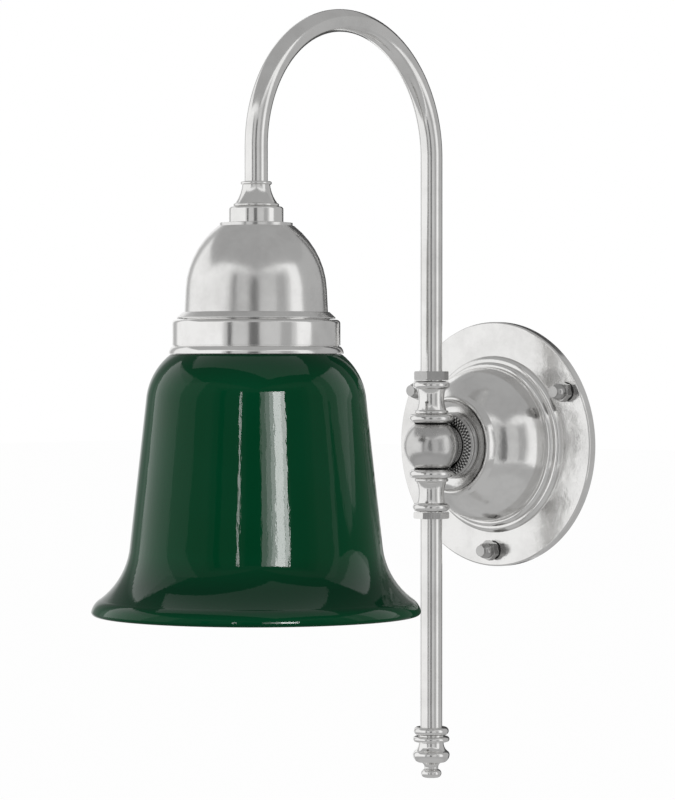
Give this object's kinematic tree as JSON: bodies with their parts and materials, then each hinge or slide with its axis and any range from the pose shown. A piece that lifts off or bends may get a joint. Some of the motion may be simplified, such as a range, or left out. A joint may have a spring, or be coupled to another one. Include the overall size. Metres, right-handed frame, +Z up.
{
  "type": "gooseneck wall sconce",
  "caption": "Swan-neck wall light: polished nickel bent tube on a ball swivel and round canopy, with a green glass bell shade",
  "frame": {"origin": "on the wall plane, at the middle of the canopy and of its cable hole", "axes": "+X to the right for someone who faces the wall, +Y into the wall, +Z up"},
  "size_m": [0.171, 0.2839, 0.4163],
  "materials": {
    "polished_nickel": "mirror polish",
    "zinc_plated_steel": "satin",
    "plain_brass": "satin",
    "dark_fibre": "matte",
    "glazed_ceramic": "glazed",
    "connector_plastic": "matte",
    "lead_sheath": "matte",
    "cased_green_glass": "polished, opaque, white inside",
    "opal_bulb_glass": "frosted",
    "bulb_cap_metal": "satin"
  },
  "bodies": {
    "wall_mount": {"canopy": "polished_nickel", "canopy_cap_nuts": "polished_nickel", "canopy_nut_washers": "dark_fibre", "wall_plate": "zinc_plated_steel", "plate_studs": "zinc_plated_steel", "terminal_block": "connector_plastic", "terminal_inserts": "plain_brass", "terminal_screws": "plain_brass", "earth_screw": "plain_brass", "back_nipple": "plain_brass", "nipple_washer": "zinc_plated_steel", "nipple_nut": "zinc_plated_steel", "canopy_lead": "lead_sheath"},
    "lock_ring": {"knurled_ring": "polished_nickel"},
    "ball": {"swivel_ball": "polished_nickel", "swivel_washers": "dark_fibre"},
    "arm": {"swivel_stem": "plain_brass", "upper_collar": "polished_nickel", "lower_collar": "polished_nickel", "lower_lock_nut": "polished_nickel", "lower_tube": "polished_nickel", "tube_end_cap": "polished_nickel", "finial": "polished_nickel", "gooseneck_tube": "polished_nickel", "neck_lead": "lead_sheath", "neck_cone": "polished_nickel", "coupling_ring": "polished_nickel", "drop_nipple": "plain_brass", "dome_nut": "zinc_plated_steel", "shade_dome": "polished_nickel", "shade_collar": "polished_nickel", "glass_shade": "cased_green_glass", "shade_gasket": "dark_fibre", "lampholder_sleeve": "plain_brass", "lampholder_cap": "plain_brass", "lampholder_insert": "glazed_ceramic", "lampholder_screws": "zinc_plated_steel", "screw_shell": "plain_brass", "centre_contact": "plain_brass", "side_contact": "plain_brass"},
    "lock_nut": {"upper_lock_nut": "polished_nickel"},
    "shade_ring": {"shade_ring": "plain_brass"},
    "bulb": {"bulb_glass": "opal_bulb_glass", "bulb_cap": "bulb_cap_metal", "bulb_contact": "bulb_cap_metal"}
  },
  "joints": [
    {"name": "lock_ring_turn", "type": "hinge", "parent": "wall_mount", "child": "lock_ring", "pos_m": [0, -0.0424, 0], "axis": [0, -1, 0], "range_deg": [-70, 0]},
    {"name": "arm_level", "type": "hinge", "parent": "wall_mount", "child": "ball", "pos_m": [0, -0.0584, 0], "axis": [0, -1, 0], "range_deg": [-12, 12]},
    {"name": "neck_swivel", "type": "hinge", "parent": "ball", "child": "arm", "pos_m": [0, -0.0584, 0], "axis": [0, 0, 1], "range_deg": [-70, 70]},
    {"name": "neck_lock_nut_turn", "type": "hinge", "parent": "arm", "child": "lock_nut", "pos_m": [0, -0.0584, 0.038], "axis": [0, 0, 1], "range_deg": [0, 360]},
    {"name": "shade_ring_turn", "type": "hinge", "parent": "arm", "child": "shade_ring", "pos_m": [0, -0.1984, 0.057], "axis": [0, 0, 1], "range_deg": [-1080, 0]},
    {"name": "bulb_turn", "type": "hinge", "parent": "arm", "child": "bulb", "pos_m": [0, -0.1984, 0.06], "axis": [0, 0, 1], "range_deg": [-1800, 0]}
  ]
}
